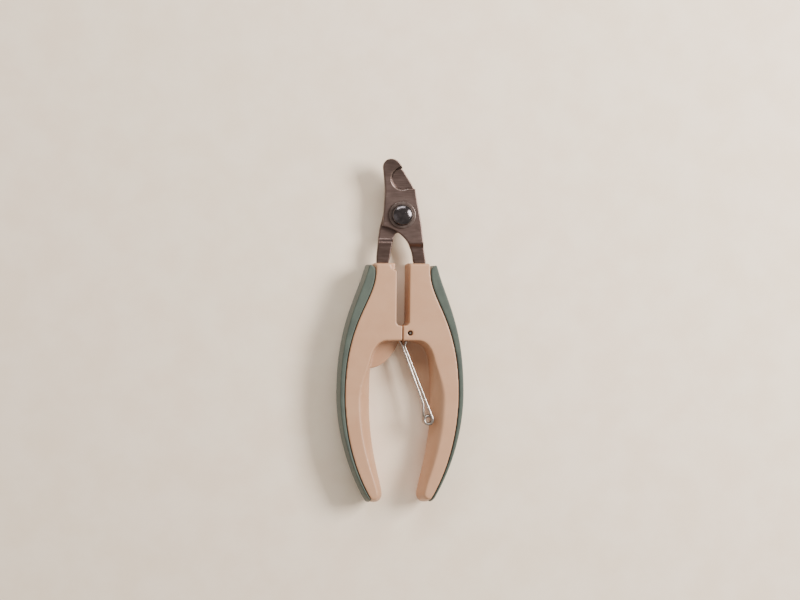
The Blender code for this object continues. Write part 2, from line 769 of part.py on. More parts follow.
clear_scene()
parts = collection_named("nail_clipper")
cutters = collection_named("cutters", hidden=True)
plastic = material_named("pink_plastic", (0.58, 0.40, 0.32), 0.45, 0.0)
rubber = material_named("green_rubber", (0.13, 0.18, 0.16), 0.7, 0.0)
steel = material_named("dark_steel", (0.10, 0.08, 0.08), 0.35, 1.0)
bright_steel = material_named("polished_steel", (0.35, 0.34, 0.34), 0.15, 1.0)
wire_steel = material_named("wire_steel", (0.60, 0.58, 0.55), 0.2, 1.0)

left_half = empty_at("left_half_axis", 0, pivot_y)
right_half = empty_at("right_half_axis", 0, pivot_y)
left_leg_axis = empty_at("spring_left_axis", -ANCHOR_X, anchor_y, left_half)
right_leg_axis = empty_at("spring_right_axis", ANCHOR_X, anchor_y, right_half)

handle_and_grip(-1, left_half)
handle_and_grip(1, right_half)
rear_blade(left_half)
front_blade(right_half)
pivot(left_half)
spring(left_leg_axis, right_leg_axis)
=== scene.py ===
import json
import math

import bmesh
import bpy
from mathutils import Matrix, Vector


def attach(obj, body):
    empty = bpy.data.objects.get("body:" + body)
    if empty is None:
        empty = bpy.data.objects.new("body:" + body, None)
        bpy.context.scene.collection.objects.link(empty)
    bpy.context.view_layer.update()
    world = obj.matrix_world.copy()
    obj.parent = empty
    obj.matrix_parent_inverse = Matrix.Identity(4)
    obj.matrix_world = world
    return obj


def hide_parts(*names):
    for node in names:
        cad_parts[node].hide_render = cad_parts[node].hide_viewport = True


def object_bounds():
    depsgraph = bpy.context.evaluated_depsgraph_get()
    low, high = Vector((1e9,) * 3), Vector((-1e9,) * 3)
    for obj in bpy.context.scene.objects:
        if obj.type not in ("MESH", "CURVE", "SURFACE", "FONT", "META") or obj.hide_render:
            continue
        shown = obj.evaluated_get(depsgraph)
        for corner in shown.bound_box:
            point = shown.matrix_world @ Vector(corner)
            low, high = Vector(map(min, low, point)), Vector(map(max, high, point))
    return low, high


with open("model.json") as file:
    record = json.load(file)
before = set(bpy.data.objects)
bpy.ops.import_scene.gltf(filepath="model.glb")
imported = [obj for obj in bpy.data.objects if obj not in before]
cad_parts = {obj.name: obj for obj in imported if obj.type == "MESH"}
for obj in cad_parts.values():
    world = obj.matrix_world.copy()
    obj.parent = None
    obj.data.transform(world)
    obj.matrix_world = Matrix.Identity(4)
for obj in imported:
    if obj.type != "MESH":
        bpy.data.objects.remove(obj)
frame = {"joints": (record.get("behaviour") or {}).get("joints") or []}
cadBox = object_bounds()

# The nail clipper lies closed on its back, with its blades towards +Y.
# Shapes are drawn in millimetres from the pivot.
mm = 0.001
joints = {joint["name"]: joint for joint in frame["joints"]}
pivotPoint = Vector(joints["blade_pivot"]["pos_m"])
toTip = (cadBox[1].y - pivotPoint.y) / mm
toTail = (pivotPoint.y - cadBox[0].y) / mm
halfSpan = cadBox[1].x / mm
thick = cadBox[1].z / mm
middle = thick / 2
far = 60.0  # beyond every piece, for cutters
seam = 0.15  # half of the gap between pieces that meet
turn = 2 * math.pi
finished = []  # names of the finished pieces
print("frame loaded:", round(2 * halfSpan, 1), "x", round(toTip + toTail, 1), "x", round(thick, 1), "mm")


# Sockets as values


class Flow:  # one socket of a node tree, with arithmetic that adds Math nodes
    def __init__(self, tree, socket=None):
        self.tree = tree
        self.socket = socket

    def node(self, kind, settings=None, inputs=None, output=0):
        made = self.tree.nodes.new(kind)
        for key, value in (settings or {}).items():
            setattr(made, key, value)
        for key, value in (inputs or {}).items():
            if isinstance(value, Flow):
                self.tree.links.new(value.socket, made.inputs[key])
            else:
                made.inputs[key].default_value = value
        return Flow(self.tree, made.outputs[output])

    def math(self, operation, *others):
        return self.node("ShaderNodeMath", {"operation": operation}, dict(enumerate([self, *others])))

    def __add__(self, other):
        return self.math("ADD", other)

    __radd__ = __add__

    def __sub__(self, other):
        return self.math("SUBTRACT", other)

    def __rsub__(self, other):
        return self.math("MULTIPLY", -1.0) + other

    def __mul__(self, other):
        return self.math("MULTIPLY", other)

    __rmul__ = __mul__

    def __truediv__(self, other):
        return self.math("DIVIDE", other)

    def __pow__(self, other):
        return self.math("POWER", other)

    def __gt__(self, other):
        return self.math("GREATER_THAN", other)

    def size(self):
        return self.math("ABSOLUTE")

    def between(self, low, high, start=0.0, end=1.0):  # a soft step from low to high
        return self.node(
            "ShaderNodeMapRange",
            {"interpolation_type": "SMOOTHSTEP"},
            {"Value": self, "From Min": low, "From Max": high, "To Min": start, "To Max": end},
        )

    def axes(self):  # x, y and z of a vector
        split = self.node("ShaderNodeSeparateXYZ", None, {0: self}).socket.node
        return [Flow(self.tree, socket) for socket in split.outputs]


def awayFrom(x, y, centre=(0.0, 0.0)):  # distance across from the pivot's axis, or from another centre
    right, up = x - centre[0], y - centre[1]
    return (right * right + up * up) ** 0.5


# Outlines and solids, in millimetres


# a knot is x, y, handle in, handle out, with None where the closed line runs straight
def curveThrough(knots, steps):
    points = []
    for i, (x, y, _, leaving) in enumerate(knots):
        nextX, nextY, arriving, _ = knots[(i + 1) % len(knots)]
        start, end = Vector((x, y)), Vector((nextX, nextY))
        if leaving is None and arriving is None:
            points.append(start)
            continue
        first, second = start + Vector(leaving or (0, 0)), end + Vector(arriving or (0, 0))
        for k in range(steps):
            t = k / steps
            s = 1 - t
            points.append(s**3 * start + 3 * s * s * t * first + 3 * s * t * t * second + t**3 * end)
    return points


def onSide(side, knots):  # drawn for the right; -1 mirrors it to the left
    if side > 0:
        return knots
    return [(-x, y, a and (-a[0], a[1]), b and (-b[0], b[1])) for x, y, a, b in knots]


def stackRings(name, layers):  # a closed solid through rings of equal count, each (points, height)
    shape = bmesh.new()
    rings = [[shape.verts.new((p[0], p[1], height)) for p in points] for points, height in layers]
    count = len(rings[0])
    for low, high in zip(rings, rings[1:]):
        for i in range(count):
            j = (i + 1) % count
            shape.faces.new((low[i], low[j], high[j], high[i]))
    shape.faces.new(reversed(rings[0]))
    shape.faces.new(rings[-1])
    bmesh.ops.recalc_face_normals(shape, faces=shape.faces)
    mesh = bpy.data.meshes.new(name)
    shape.to_mesh(mesh)
    shape.free()
    return mesh


def plate(name, knots, low, high, steps=12):
    points = curveThrough(knots, steps)
    return stackRings(name, [(points, low), (points, high)])


def block(name, low, high):
    corners = [(low[0], low[1]), (high[0], low[1]), (high[0], high[1]), (low[0], high[1])]
    return stackRings(name, [(corners, low[2]), (corners, high[2])])


def taper(name, centre, low, high, lowRadius, highRadius, sides=72):
    rings = []
    for radius, height in ((lowRadius, low), (highRadius, high)):
        ring = []
        for k in range(sides):
            angle = turn * k / sides
            ring.append((centre[0] + radius * math.cos(angle), centre[1] + radius * math.sin(angle)))
        rings.append((ring, height))
    return stackRings(name, rings)


def drill(name, centre, low, high, radius, sides=72):
    return taper(name, centre, low, high, radius, radius, sides)


def newItem(name, data):
    item = bpy.data.objects.new(name, data)
    bpy.context.scene.collection.objects.link(item)
    return item


def settled(item):  # the evaluated shape as the item's own plain mesh
    bpy.context.view_layer.update()
    graph = bpy.context.evaluated_depsgraph_get()
    mesh = bpy.data.meshes.new_from_object(item.evaluated_get(graph))
    item.modifiers.clear()
    if item.type == "MESH":
        item.data = mesh
        return item
    made = newItem(item.name + "Mesh", mesh)
    bpy.data.objects.remove(item)
    return made


def carved(name, mesh, cuts):  # cuts are (operation, mesh), made one after another
    item = newItem(name, mesh)
    tools = []
    for operation, cutter in cuts:
        tool = newItem(cutter.name, cutter)
        tools.append(tool)
        change = item.modifiers.new(cutter.name, "BOOLEAN")
        change.operation = operation
        change.solver = "EXACT"
        change.object = tool
    settled(item)
    for tool in tools:
        bpy.data.objects.remove(tool)
    return item


def softened(item, skin, passes):  # an even skin, smoothed so that moulded or tumbled edges go round
    remesh = item.modifiers.new("skin", "REMESH")
    remesh.mode = "VOXEL"
    remesh.voxel_size = skin
    relax = item.modifiers.new("relax", "SMOOTH")
    relax.factor = 0.5
    relax.iterations = passes
    settled(item)


def placed(item, material, node, body):  # from pivot millimetres to the frame and its body
    shift = Matrix.Translation((pivotPoint.x, pivotPoint.y, 0)) @ Matrix.Diagonal((mm, mm, mm, 1))
    item.data.transform(shift)
    item.data.materials.clear()
    item.data.materials.append(material)
    item.data.polygons.foreach_set("material_index", [0] * len(item.data.polygons))
    item.data.shade_smooth()
    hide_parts(node)
    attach(item, body)
    finished.append(item.name)
    print(item.name, len(item.data.polygons), "faces")


# Materials


def fromHex(text):  # display colour to the linear one that shaders use
    channels = [int(text[i : i + 2], 16) / 255 for i in (1, 3, 5)]
    return (*[c / 12.92 if c <= 0.04045 else ((c + 0.055) / 1.055) ** 2.4 for c in channels], 1.0)


def newMaterial(name, fixed):  # returns the material, its shader and the place in pivot millimetres
    material = bpy.data.materials.new(name)
    material.use_nodes = True
    shader = material.node_tree.nodes["Principled BSDF"]
    for key, value in fixed.items():
        shader.inputs[key].default_value = value
    place = Flow(material.node_tree).node("ShaderNodeTexCoord", output="Object")
    offset = (-pivotPoint.x / mm, -pivotPoint.y / mm, 0)
    return material, shader, stretched(place, (1 / mm,) * 3, offset=offset)


def stretched(place, scale, angles=(0, 0, 0), offset=(0, 0, 0)):
    settings = {"Vector": place, "Location": offset, "Scale": scale}
    settings["Rotation"] = [math.radians(angle) for angle in angles]
    return place.node("ShaderNodeMapping", None, settings)


def noise(place, grain, detail=3.0, roughness=0.55):  # grain is the size of a feature
    inputs = {"Vector": place, "Scale": 1 / grain, "Detail": detail, "Roughness": roughness}
    return place.node("ShaderNodeTexNoise", None, inputs)


def cells(place, grain):
    return place.node("ShaderNodeTexVoronoi", None, {"Vector": place, "Scale": 1 / grain})


def spread(pattern, low=0.0, high=1.0):  # most of a noise lies between 0.3 and 0.7
    return pattern.between(0.3, 0.7, low, high)


def tinted(amount, first, second):  # from one colour to another, each a hex text or an earlier tint
    inputs = {0: amount}
    for key, colour in ((6, first), (7, second)):
        inputs[key] = fromHex(colour) if isinstance(colour, str) else colour
    return amount.node("ShaderNodeMix", {"data_type": "RGBA"}, inputs, output=2)


def connect(shader, **flows):
    for key, flow in flows.items():
        flow.tree.links.new(flow.socket, shader.inputs[key.replace("_", " ")])


def relief(height):  # a height in millimetres as a normal
    return height.node("ShaderNodeBump", None, {"Height": height, "Distance": mm, "Strength": 1.0})


def edgeWearAndCreaseShade(place, low, high):  # 1 on outer edges, 0 in creases
    pointed = place.node("ShaderNodeNewGeometry", output="Pointiness")
    return pointed.between(low, high)


partingForm = {"half": 0.05, "fade": 0.16, "height": 0.03}


def partingLine(place):  # the raised line that the mould leaves at mid thickness
    form = partingForm
    away = (place.axes()[2] - middle).size()
    return (1 - away.between(form["half"], form["fade"])) * form["height"]


plasticLook = {
    "colour": "#bd9171",
    "shade": "#b08262",
    "worn": "#cea98a",
    # the next colour is painted shade, put into creases and hollows
    "grime": "#76503a",
    "cloud": 9.0,  # pattern sizes
    "mottle": 0.9,
    "grain": 0.35,
    "patch": 5.0,
    "scratch": (3.2, 0.16, 3.2),  # how close together along each axis
    "scratchTurn": 24,  # degrees
    "clouding": 0.45,  # colour strengths
    "mottling": 0.3,
    "wear": 0.35,
    "roughness": (0.38, 0.49),
    "scratchRoughness": 0.12,
    "edgePolish": 0.08,
    "cloudHeight": 0.02,
    "grainHeight": 0.006,
    "scratchDepth": 0.01,
    "fixed": {
        "Subsurface Weight": 0.06,
        "Subsurface Radius": (0.0012, 0.0007, 0.0005),
        "Coat Weight": 0.12,
        "Coat Roughness": 0.25,
    },
}


def mouldedPlastic():
    look = plasticLook
    material, shader, place = newMaterial("mouldedPlastic", look["fixed"])
    cloud = noise(place, look["cloud"])
    mottle = noise(place, look["mottle"], 4)
    grain = noise(place, look["grain"])
    hairs = noise(stretched(place, look["scratch"], (0, 0, look["scratchTurn"])), 1.0, 2)
    scratches = hairs.between(0.66, 0.72) * noise(place, look["patch"], 1).between(0.5, 0.62)
    edges = edgeWearAndCreaseShade(place, 0.515, 0.6)
    # painted shade: creases and hollows, where pointiness is low, are picked out for darkening
    creases = 1 - edgeWearAndCreaseShade(place, 0.42, 0.495)
    base = tinted(spread(cloud) * look["clouding"], look["colour"], look["shade"])
    base = tinted(mottle.between(0.62, 0.78) * look["mottling"], base, look["shade"])
    base = tinted(edges * look["wear"], base, look["worn"])
    # painted shade: creases and hollows are tinted towards a dark brown, where shade would fall
    base = tinted(creases * cloud.between(0.25, 0.75, 0.35, 0.9), base, look["grime"])
    gloss = spread(mottle, *look["roughness"])
    gloss = gloss + scratches * look["scratchRoughness"] - edges * look["edgePolish"]
    bumps = grain * look["grainHeight"] + cloud * look["cloudHeight"] + partingLine(place)
    bumps = bumps - scratches * look["scratchDepth"]
    connect(shader, Base_Color=base, Roughness=gloss, Normal=relief(bumps))
    return material


rubberLook = {
    "colour": "#3a433c",
    "light": "#49534a",
    "dust": "#6c736a",
    "cloud": 6.0,  # pattern sizes
    "pebble": 0.42,
    "fine": 0.16,
    "speck": 0.35,
    "pebbling": 0.25,  # colour strengths
    "edgeDust": 0.3,
    "speckDust": 0.12,
    "roughness": (0.56, 0.7),
    "edgePolish": 0.1,
    "fineHeight": 0.006,
    "pebbleHeight": 0.02,
    "fixed": {"Sheen Weight": 0.15, "Sheen Roughness": 0.4},
}


def matteRubber():
    look = rubberLook
    material, shader, place = newMaterial("matteRubber", look["fixed"])
    cloud = noise(place, look["cloud"], 4)
    pebbles = cells(place, look["pebble"])
    fine = noise(place, look["fine"], 2)
    edges = edgeWearAndCreaseShade(place, 0.54, 0.62)
    specks = noise(place, look["speck"], 2).between(0.68, 0.76)
    base = tinted(spread(cloud), look["colour"], look["light"])
    base = tinted(pebbles.between(0.2, 0.7) * look["pebbling"], base, look["light"])
    base = tinted(edges * look["edgeDust"] + specks * look["speckDust"], base, look["dust"])
    gloss = spread(cloud, *look["roughness"]) - edges * look["edgePolish"]
    bumps = fine * look["fineHeight"] - pebbles * look["pebbleHeight"] + partingLine(place)
    connect(shader, Base_Color=base, Roughness=gloss, Normal=relief(bumps))
    return material


steelLook = {
    "colour": "#64544f",
    "bronze": "#6d5b56",
    "ground": "#9c9490",
    # the next colour is painted shade for the shank past the step
    "shank": "#54443f",
    "cloud": 4.0,  # pattern sizes
    "spot": 1.1,
    "spotPatch": 3.0,
    "lineWidth": 0.16,
    "lineLength": 5.0,
    "lineTurn": 7,  # degrees
    "rubbedRing": (4.4, 5.0, 5.4, 7.2),  # around the pivot: starts, full, fades, ends
    "groundRim": (-0.05, 0.13),  # around the notch's wider edge
    "shankFade": (-0.5, 0.9),  # around the step
    "shankShade": 0.8,  # colour strengths
    "lining": 0.12,
    "wear": 0.3,
    "rubbing": 0.1,
    "grinding": 0.6,
    "roughness": (0.3, 0.46),
    "spotRoughness": 0.2,
    "groundPolish": 0.12,
    "edgePolish": 0.08,
    "lineHeight": 0.006,
    "cloudHeight": 0.02,
    "spotDepth": 0.01,
    "fixed": {"Metallic": 1.0},
}


def bladeSteel(name, own):  # ground bright in its own notch, with painted shade past its own step
    look = steelLook
    material, shader, place = newMaterial(name, look["fixed"])
    x, y, _ = place.axes()
    across = 1 / look["lineLength"]
    drawn = stretched(place, (across, 1 / look["lineWidth"], across), (0, 0, look["lineTurn"]))
    lines = noise(drawn, 1.0, 4, 0.7)
    cloud = noise(place, look["cloud"], 4)
    spots = cells(place, look["spot"]).between(0.05, 0.0)
    spots = spots * noise(place, look["spotPatch"], 1).between(0.5, 0.65)
    rim = [bladeForm["notchFace"] + shift for shift in look["groundRim"]]
    ground = 1 - awayFrom(x, y, own["notch"]).between(*rim)
    starts, full, fades, ends = look["rubbedRing"]
    fromPivot = awayFrom(x, y)
    rubbed = fromPivot.between(starts, full) - fromPivot.between(fades, ends)
    edges = edgeWearAndCreaseShade(place, 0.52, 0.6)
    beyondStep = (y * -1.0).between(*[own["step"] + shift for shift in look["shankFade"]])
    wear = (edges * look["wear"] + rubbed * look["rubbing"]).between(0.0, 1.0)
    base = tinted(spread(cloud), look["colour"], look["bronze"])
    # painted shade: past the step the shank is tinted darker, as a shank tilted away from the light
    # would look
    base = tinted(beyondStep * look["shankShade"], base, look["shank"])
    base = tinted(lines.between(0.45, 0.75) * look["lining"], base, look["ground"])
    base = tinted(wear, base, look["ground"])
    base = tinted(ground * look["grinding"], base, look["ground"])
    gloss = spread(lines, *look["roughness"]) + spots * look["spotRoughness"]
    gloss = gloss - ground * look["groundPolish"] - edges * look["edgePolish"]
    bumps = lines * look["lineHeight"] + cloud * look["cloudHeight"] - spots * look["spotDepth"]
    connect(shader, Base_Color=base, Roughness=gloss, Normal=relief(bumps))
    return material


rivetLook = {
    "colour": "#625c5e",
    "dark": "#4a4547",
    "cloud": 1.6,  # pattern sizes
    "dent": 0.5,
    "ringStep": 0.22,
    "ringPatch": 0.8,
    "roughness": (0.08, 0.2),
    "dentRoughness": 0.12,
    "ringHeight": 0.004,
    "dentDepth": 0.012,
    "cloudHeight": 0.03,
    "fixed": {"Metallic": 1.0},
}


def rivetSteel():
    look = rivetLook
    material, shader, place = newMaterial("rivetSteel", look["fixed"])
    x, y, _ = place.axes()
    waves = (awayFrom(x, y) * (turn / look["ringStep"])).math("SINE")
    rings = waves * noise(place, look["ringPatch"], 2)
    cloud = noise(place, look["cloud"])
    dents = noise(place, look["dent"], 2).between(0.62, 0.75)
    base = tinted(spread(cloud), look["colour"], look["dark"])
    gloss = spread(cloud, *look["roughness"]) + dents * look["dentRoughness"]
    bumps = rings * look["ringHeight"] - dents * look["dentDepth"] + cloud * look["cloudHeight"]
    connect(shader, Base_Color=base, Roughness=gloss, Normal=relief(bumps))
    return material


washerLook = {
    "colour": "#5f514d",
    "bright": "#7d716c",
    "cloud": 1.2,
    "ringsPerMillimetre": 6.0,
    "clouding": 0.6,  # colour strengths
    "wear": 0.5,
    "rim": (4.45, 4.65),
    "roughness": (0.28, 0.46),
    "ringHeight": 0.008,
    "fixed": {"Metallic": 1.0},
}


def washerSteel():
    look = washerLook
    material, shader, place = newMaterial("washerSteel", look["fixed"])
    x, y, height = place.axes()
    radius = awayFrom(x, y)
    turned = {0: radius * look["ringsPerMillimetre"], 1: height}
    rings = noise(place.node("ShaderNodeCombineXYZ", None, turned), 1.0)
    base = tinted(spread(noise(place, look["cloud"])) * look["clouding"], look["colour"], look["bright"])
    base = tinted(radius.between(*look["rim"]) * look["wear"], base, look["bright"])
    gloss = spread(rings, *look["roughness"])
    connect(shader, Base_Color=base, Roughness=gloss, Normal=relief(rings * look["ringHeight"]))
    return material


wireLook = {
    "colour": "#aaa199",
    "dark": "#6b635a",
    "stain": 5.0,
    "linesAlong": 0.15,  # per millimetre
    "linesAround": 14.0,  # from one side of the wire to the other
    "staining": 0.4,  # colour strengths
    "lining": 0.2,
    "roughness": (0.15, 0.32),
    "stainRoughness": 0.06,
    "lineHeight": 0.002,
    "fixed": {"Metallic": 1.0},
}


def springSteel():  # its lines follow the wire by the attributes that the sweep leaves on it
    look = wireLook
    material, shader, place = newMaterial("springSteel", look["fixed"])
    along = place.node("ShaderNodeAttribute", {"attribute_name": "alongWire"}, output="Fac")
    around = place.node("ShaderNodeAttribute", {"attribute_name": "roundWire"}, output="Fac")
    drawn = {0: along * look["linesAlong"], 1: around * look["linesAround"]}
    lines = noise(place.node("ShaderNodeCombineXYZ", None, drawn), 1.0)
    stain = noise(place, look["stain"])
    base = tinted(stain.between(0.4, 0.7) * look["staining"], look["colour"], look["dark"])
    base = tinted(lines.between(0.5, 0.8) * look["lining"], base, look["dark"])
    gloss = spread(lines, *look["roughness"]) + stain * look["stainRoughness"]
    connect(shader, Base_Color=base, Roughness=gloss, Normal=relief(lines * look["lineHeight"]))
    return material


# Handles and their rubber strips

handleForm = {
    "blockTop": 16.7,
    "slotFloor": 38.6,
    "arch": 43.7,
    "widest": 62.5,
    "blockHalf": 12.8,
    "slotHalf": 2.25,
    "tailInner": 10.8,
    "endOuter": 12.3,
    "endInner": 6.1,
    "innerSlope": 4.3,  # from mid thickness to the faces
    "outerSlope": 0.7,
    "topSlope": 0.5,
    "endSlope": 1.6,
    "slopeStart": 1.1,  # 1 leaves mid thickness straight
    "slopeEnd": 0.75,  # 1 meets the faces at an edge, less rolls over into them
    "slopeLayers": 9,
    "curveSteps": 20,
    "skin": 0.3,
    "relax": 10,
}
stripForm = {"side": 2.25, "top": 3.1, "end": 1.9, "crown": 1.9, "skin": 0.22, "relax": 6}
keyForm = {"reach": 0.7, "root": 2.0, "thick": 3.0, "topMargin": 9.0, "bottomMargin": 26.0}
webForm = {
    "low": 1.6,
    "belowBay": 0.2,
    "root": 14.0,  # inside the tail
    "rise": 3.0,  # into the block, above the arch
    "start": 3.2,  # these are below the arch
    "stop": 22.5,
    "right": 24.5,
    "left": 10.2,
    "curveSteps": 20,
}
reliefForm = {"x": -2.1, "y": -16.9, "radius": 2.5, "depth": 4.0}


def handleEdge(onFace):
    form = handleForm
    slopes = ("outerSlope", "endSlope", "innerSlope", "topSlope")
    outer, end, inner, drop = [form[key] if onFace else 0 for key in slopes]
    top = -form["blockTop"] - drop
    slot, block, floor = form["slotHalf"], form["blockHalf"], -form["slotFloor"]
    return [
        (slot, top, None, None),
        (block - 1.7 - outer / 2, top, None, (0.9, 0)),
        (block - outer, -form["blockTop"] - 2.0, (-0.3, 1.1), (3.1, -11.2)),
        (halfSpan - outer, -form["widest"], (0, 24.0), (0, -7.1)),
        (form["endOuter"] - outer / 2, -toTail + 0.9 + end, (8.4, 14.5), (-0.3, -0.5)),
        (form["endOuter"] - 1.2 - outer / 2, -toTail + end, (0.5, 0), None),
        (form["endInner"] + 2.3 + inner / 3, -toTail + end, None, (-1.4 + end / 2, 0)),
        (form["endInner"] + inner * 0.55, -toTail + 3.5, (-0.4, -1.9 + end / 2), (0.7, 5.2)),
        (form["tailInner"] + inner, -form["widest"] - 2.0, (0, -17.0), (0, 5.0)),
        *archEdge(onFace),
        (seam, floor, None, None),
        (slot - 1.3, floor, None, (0.75, 0)),
        (slot, floor + 1.4, (0, -0.8), None),
    ]


def archEdge(onFace):
    arch = -handleForm["arch"]
    if onFace:
        bends = [(11.4, arch - 6.8, (1.3, -4.6), (-0.9, 4.3)), (5.75, arch, (2.6, 0), None)]
        return [*bends, (seam, arch, None, None)]
    bends = [(10.4, arch - 8.0, (0.4, -4.6), (-0.6, 4.8)), (5.0, arch - 0.8, (2.6, 0), None)]
    return [*bends, (seam, arch - 0.4, None, None)]


def webUnderArch(side):  # its free edge on the right follows the spring's right leg down to the tail
    arch, form = -handleForm["arch"], webForm
    if side > 0:
        free = [
            (legSide(form["stop"]), arch - form["stop"], (0.5, -0.9), None),
            (legSide(form["start"]), arch - form["start"], None, None),
            (seam, arch - 0.4, None, None),
        ]
    else:
        free = [
            (9.6, arch - 9.9, (1.6, -0.2), (-4.0, 0.5)),
            (seam, arch - 0.4, (1.6, -4.6), None),
        ]
    top, bottom, root = arch + form["rise"], arch - form["right" if side > 0 else "left"], form["root"]
    knots = [(seam, top, None, None), (root, top, None, None), (root, bottom, None, None), *free]
    high = leftLegHeight - springForm["wire"] - 2 * seam - form["belowBay"]
    return [("UNION", plate("web", onSide(side, knots), form["low"], high, form["curveSteps"]))]


def handleBody(name, side):
    form = handleForm
    inner = curveThrough(onSide(side, handleEdge(False)), form["curveSteps"])
    outer = curveThrough(onSide(side, handleEdge(True)), form["curveSteps"])
    count = form["slopeLayers"]
    layers = []
    for k in range(-count, count + 1):
        t = math.sin(k / count * math.pi / 2)  # closer together towards the faces
        share = 1 - (1 - abs(t) ** form["slopeStart"]) ** form["slopeEnd"]
        layers.append(([a.lerp(b, share) for a, b in zip(inner, outer)], middle * (1 + t)))
    return stackRings(name, layers)


def stripEdge(shift):  # between plastic and rubber, from the top to the tail's end
    form, strip = handleForm, stripForm
    return [
        (form["blockHalf"] - strip["top"] + shift, -form["blockTop"] - 2.6, None, (-0.4, -10.8)),
        (halfSpan - strip["side"] + shift, -form["widest"], (0, 26.5), (0, -8.5)),
        (form["endOuter"] - strip["end"] + shift, -toTail + 1.0, (8.2, 13.5), None),
    ]


def stripSides(side):  # what lies on each side of the strip's edge, as tall cutters
    insideLine, outsideLine = stripEdge(-seam), stripEdge(seam)
    plasticKnots = [
        (-far, 0, None, None),
        (insideLine[0][0], 0, None, None),
        *insideLine,
        (insideLine[-1][0] - 1.0, -toTail - far, None, None),
        (-far, -toTail - far, None, None),
    ]
    crownX, crownY = outsideLine[0][0] + stripForm["crown"], -handleForm["blockTop"] - 0.8
    rubberKnots = [
        (outsideLine[0][0], outsideLine[0][1], (0, 0.9), outsideLine[0][3]),
        *outsideLine[1:],
        (outsideLine[-1][0] - 1.0, -toTail - far, None, None),
        (far, -toTail - far, None, None),
        (far, crownY, None, None),
        (crownX, crownY, None, (-0.9, 0)),
    ]
    steps = handleForm["curveSteps"]
    plasticSide = plate("plasticSide", onSide(side, plasticKnots), -far, far, steps)
    rubberSide = plate("rubberSide", onSide(side, rubberKnots), -far, far, steps)
    return plasticSide, rubberSide


def keyRib(name, side, reach, height, spare):  # the rib that holds the rubber, with square ends
    form = keyForm
    back = [(x, y, leaving, arriving) for x, y, arriving, leaving in reversed(stripEdge(-form["root"]))]
    knots = onSide(side, stripEdge(reach) + back)
    band = plate(name, knots, middle - height / 2, middle + height / 2, handleForm["curveSteps"])
    low = (-far, -toTail + form["bottomMargin"] - spare, 0)
    high = (far, -handleForm["blockTop"] - form["topMargin"] + spare, thick)
    item = carved(name + "Band", band, [("INTERSECT", block(name + "Ends", low, high))])
    mesh = item.data
    bpy.data.objects.remove(item)
    return mesh


def makeHandle(side):
    word = "right" if side > 0 else "left"
    form = handleForm
    plasticSide, rubberSide = stripSides(side)
    key = keyRib("key", side, keyForm["reach"], keyForm["thick"], 0)
    cuts = [("INTERSECT", plasticSide), ("UNION", key)]
    cuts += webUnderArch(side) + tangPocket(side) + springBay(side)
    if side < 0:
        spot = reliefForm
        low = thick - spot["depth"]
        cuts.append(("DIFFERENCE", drill("relief", (spot["x"], spot["y"]), low, far, spot["radius"])))
    shell = carved(word + "HandleShell", handleBody(word + "Handle", side), cuts)
    softened(shell, form["skin"], form["relax"])
    placed(shell, plastic, word + "_handle", word + "_half")
    groove = keyRib("groove", side, keyForm["reach"] + 2 * seam, keyForm["thick"] + 4 * seam, 2 * seam)
    gripCuts = [("INTERSECT", rubberSide), ("DIFFERENCE", groove)]
    grip = carved(word + "GripStrip", handleBody(word + "Grip", side), gripCuts)
    softened(grip, stripForm["skin"], stripForm["relax"])
    placed(grip, rubber, word + "_grip", word + "_half")


# The blades' shanks sit in the handles, so both use these

bladeForm = {
    "thick": 1.8,
    "outerWall": 1.0,
    "innerWall": 2.25,
    "shankEnd": 33.5,
    "endRound": 1.2,
    "holeDown": 28.0,
    "holeRadius": 1.35,
    "boreRadius": 2.2,
    "dishStart": 6.5,
    "dishRadius": 35.0,
    "stepLength": 1.9,
    "shoulder": 9.3,
    "notchEdge": 3.3,
    "notchFace": 4.2,
    "pastNotch": 1.5,  # the shoulder's cut ends inside the notch
    "skin": 0.19,
    "relax": 2,
}
tangOuter = handleForm["blockHalf"] - stripForm["top"] - bladeForm["outerWall"]
tangInner = handleForm["slotHalf"] + bladeForm["innerWall"]


def tangEdge(grow):
    outer, inner, bottom = tangOuter + grow, tangInner - grow, -bladeForm["shankEnd"] - grow
    bend = bladeForm["endRound"]
    return [
        (outer, 0, None, None),
        (outer, bottom + bend, None, (0, -0.7)),
        (outer - bend, bottom, (0.7, 0), None),
        (inner + bend, bottom, None, (-0.7, 0)),
        (inner, bottom + bend, (0, -0.7), None),
        (inner, 0, None, None),
    ]


def tangHoleCentre(side):
    return side * (tangOuter + tangInner) / 2, -bladeForm["holeDown"]


def tangPocket(side):  # around the lug that stands through the shank's hole
    half = bladeForm["thick"] / 2 + 2 * seam
    pocket = plate("pocket", onSide(side, tangEdge(2 * seam)), middle - half, middle + half)
    lugRadius = bladeForm["holeRadius"] - 2 * seam
    lug = drill("lug", tangHoleCentre(side), middle - half - 1, middle + half + 1, lugRadius)
    return [("DIFFERENCE", pocket), ("UNION", lug)]


# Spring: two legs of one wire, which meet in a coil

springForm = {
    "wire": 0.5,
    "coilRadius": 1.45,
    "coilDown": 27.8,  # below the arch
    "pastTail": 0.65,
    "turnGap": 0.05,
    "turnsEach": 1.25,
    "split": 20.0,  # degrees of the coil left open between the legs
    "rise": 2.4,
    "leftRise": -0.4,
    "rightRise": 1.6,
    "leftBend": (0.3, 0.9),  # across, and below the arch
    "rightBend": (1.3, 2.3),
    "knee": (5.5, 2.0),  # above the coil, and above mid thickness
    "webRoom": 0.6,
    "bendRadius": 0.9,
    "bendSteps": 8,
    "bendLift": 0.2,
    "footHeight": 0.5,
    "bay": 4.2,
    "holeSpare": 0.425,
    "sides": 24,
    "stepsPerTurn": 56,
    "endTaper": 0.16,
    "endShare": 0.7,  # of the wire's radius, at its very ends
}
coilX = handleForm["tailInner"] + springForm["pastTail"] - springForm["coilRadius"] - springForm["wire"]
coilY = -handleForm["arch"] - springForm["coilDown"]
